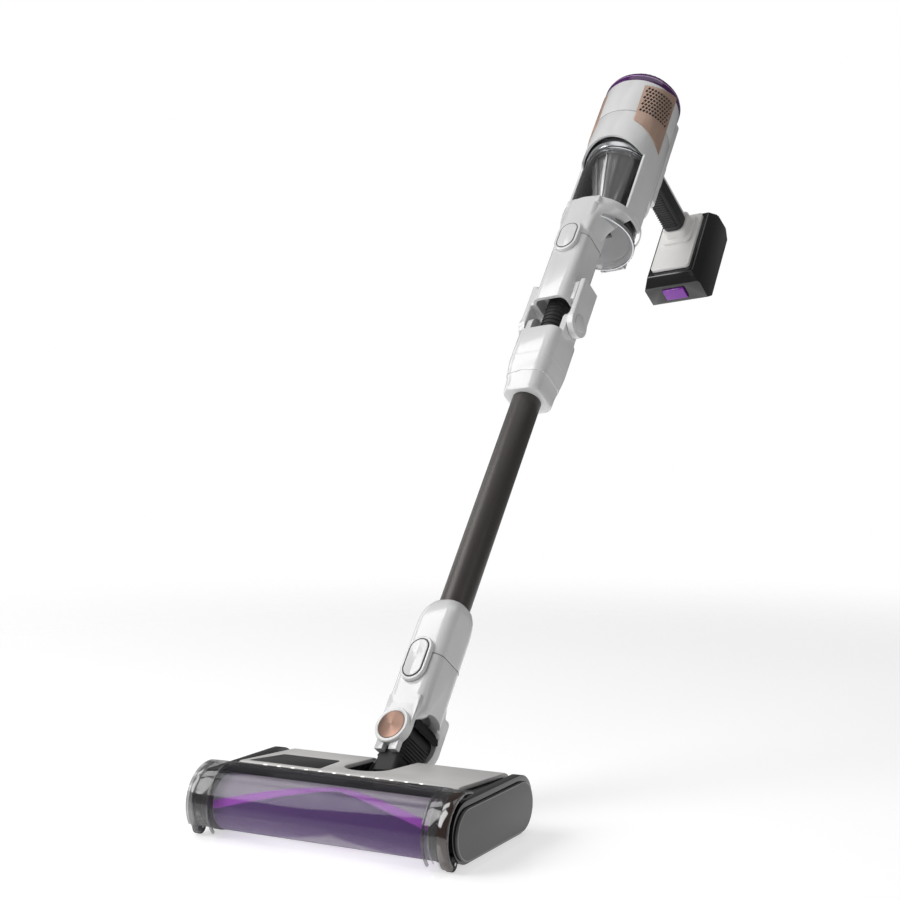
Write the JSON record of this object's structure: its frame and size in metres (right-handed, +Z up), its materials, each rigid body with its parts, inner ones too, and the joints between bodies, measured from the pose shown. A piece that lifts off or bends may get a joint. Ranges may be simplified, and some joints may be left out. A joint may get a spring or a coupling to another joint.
{
  "type": "cordless stick vacuum",
  "caption": "Cordless stick vacuum with a lit brush-roll floor head, jointed neck, folding wand, bagless handheld unit and a battery pack.",
  "frame": {"origin": "on the floor under the middle of the whole object, at the base of its bounding box", "axes": "+X across the floor head to the right, -Y towards the front of the head, +Z up from the floor; the wand leans back towards +Y"},
  "size_m": [0.28, 0.9716, 0.855],
  "materials": {
    "white_gloss": "gloss",
    "grey_gloss": "gloss",
    "grey_satin": "satin",
    "plate_grey": "satin",
    "clear_window": "clear",
    "smoked_window": "smoked",
    "clear_cup": "clear",
    "smoked_cup": "smoked",
    "silver": "satin",
    "cone_grey": "gloss",
    "rose_metal": "radial brushed",
    "copper_paint": "satin metallic",
    "purple_gloss": "gloss",
    "purple_button": "satin",
    "tube_grey": "satin anodised",
    "purple_pile": "pile",
    "purple_core": "satin",
    "grip_rubber": "satin",
    "hose_rubber": "satin",
    "steel": "brushed",
    "motor_metal": "machined",
    "filter_felt": "felt",
    "board_green": "solder mask",
    "cell_wrap": "wrap",
    "lens_clear": "frosted",
    "wheel_rubber": "matte",
    "black_plastic": "gloss"
  },
  "bodies": {
    "floor_head": {"head_chassis": "black_plastic", "sole_plate": "black_plastic", "top_cover": "grey_satin", "sensor_panel": "black_plastic", "led_bar": "black_plastic", "led_lenses": "lens_clear", "brush_window": "clear_window", "window_ends": "smoked_window", "end_cheeks": "black_plastic", "end_plates": "plate_grey", "brush_bearings": "steel", "brush_motor": "motor_metal", "head_duct": "black_plastic", "wheel_axles": "steel", "recline_pins": "steel", "head_screws": "steel", "drive_belt": "hose_rubber"},
    "brush_roll": {"brush_core": "purple_core", "brush_pile": "purple_pile", "brush_shaft": "steel", "brush_pulley": "black_plastic"},
    "motor_drive": {"motor_pulley": "black_plastic"},
    "front_wheels": {"front_wheels": "wheel_rubber"},
    "rear_roller": {"rear_roller": "wheel_rubber"},
    "knuckle": {"knuckle": "black_plastic"},
    "wand": {"neck_body": "white_gloss", "disc_cap": "rose_metal", "swivel_pin": "steel", "neck_button_spring": "steel", "wand_ferrule": "white_gloss", "wand_tube": "tube_grey", "fold_collar": "white_gloss", "fold_pins": "steel", "fold_hose": "hose_rubber"},
    "neck_button": {"neck_button": "white_gloss"},
    "fold_lever": {"fold_lever": "white_gloss"},
    "handheld": {"upper_wand": "white_gloss", "front_shell": "white_gloss", "dust_cup": "clear_cup", "cup_ring": "silver", "door_pin": "steel", "cyclone_cone": "cone_grey", "premotor_filter": "filter_felt", "fan_motor": "motor_metal", "exhaust_filter": "filter_felt", "motor_cover": "white_gloss", "top_crown": "purple_gloss", "side_vents": "copper_paint", "rear_spine": "grey_gloss", "grip": "grip_rubber", "grip_spine": "grey_gloss", "battery_mount": "grey_satin", "control_board": "board_green"},
    "wand_latch": {"wand_latch": "white_gloss"},
    "cup_door": {"cup_door": "smoked_cup"},
    "impeller": {"impeller": "motor_metal"},
    "power_trigger": {"power_trigger": "black_plastic"},
    "battery": {"battery_case": "black_plastic", "battery_cells": "cell_wrap"},
    "battery_release": {"battery_release": "purple_button"}
  },
  "joints": [
    {"name": "brush_spin", "type": "hinge", "parent": "floor_head", "child": "brush_roll", "pos_m": [0, -0.4494, 0.0277], "axis": [1, 0, 0], "continuous": true},
    {"name": "motor_spin", "type": "hinge", "parent": "floor_head", "child": "motor_drive", "pos_m": [0, -0.3714, 0.0277], "axis": [1, 0, 0], "continuous": true},
    {"name": "front_wheels_roll", "type": "hinge", "parent": "floor_head", "child": "front_wheels", "pos_m": [0, -0.4709, 0.007], "axis": [1, 0, 0], "continuous": true},
    {"name": "rear_roller_roll", "type": "hinge", "parent": "floor_head", "child": "rear_roller", "pos_m": [0, -0.3454, 0.006], "axis": [1, 0, 0], "continuous": true},
    {"name": "head_recline", "type": "hinge", "parent": "floor_head", "child": "knuckle", "pos_m": [0, -0.3375, 0.0362], "axis": [1, 0, 0], "range_deg": [-34, 39]},
    {"name": "neck_swivel", "type": "hinge", "parent": "knuckle", "child": "wand", "pos_m": [0, -0.30991, 0.06983], "axis": [-0.1495, -0.7645, 0.6271], "range_deg": [-35, 35]},
    {"name": "neck_button_press", "type": "slide", "parent": "wand", "child": "neck_button", "axis": [0.1495, 0.7645, -0.6271], "range_m": [0, 0.002], "stiffness_N_per_m": 900, "deforming": ["neck_button_spring"]},
    {"name": "fold_lever_press", "type": "slide", "parent": "wand", "child": "fold_lever", "axis": [0, -0.6342, -0.7732], "range_m": [0, 0.003], "stiffness_N_per_m": 900},
    {"name": "wand_fold", "type": "hinge", "parent": "wand", "child": "handheld", "pos_m": [0, 0.04111, 0.49779], "axis": [0.9888, -0.1156, 0.0948], "range_deg": [0, 75], "deforming": ["fold_hose"]},
    {"name": "wand_latch_press", "type": "slide", "parent": "handheld", "child": "wand_latch", "axis": [0.1495, 0.7645, -0.6271], "range_m": [0, 0.002], "stiffness_N_per_m": 900},
    {"name": "cup_door_open", "type": "hinge", "parent": "handheld", "child": "cup_door", "pos_m": [0.01121, 0.2074, 0.58359], "axis": [0.9888, -0.1156, 0.0948], "range_deg": [0, 84]},
    {"name": "impeller_spin", "type": "hinge", "parent": "handheld", "child": "impeller", "pos_m": [0.00374, 0.27775, 0.74731], "axis": [0, 0.6342, 0.7732], "continuous": true},
    {"name": "trigger_pull", "type": "slide", "parent": "handheld", "child": "power_trigger", "axis": [0, 0.6342, 0.7732], "range_m": [0, 0.003], "stiffness_N_per_m": 900},
    {"name": "battery_slide", "type": "slide", "parent": "handheld", "child": "battery", "axis": [0, -0.6342, -0.7732], "range_m": [0, 0.13]},
    {"name": "battery_release_press", "type": "slide", "parent": "battery", "child": "battery_release", "axis": [0, 0.6342, 0.7732], "range_m": [0, 0.0025], "stiffness_N_per_m": 900}
  ],
  "couplings": [
    {"joint": "motor_spin", "follows": "brush_spin", "ratio": 1}
  ]
}
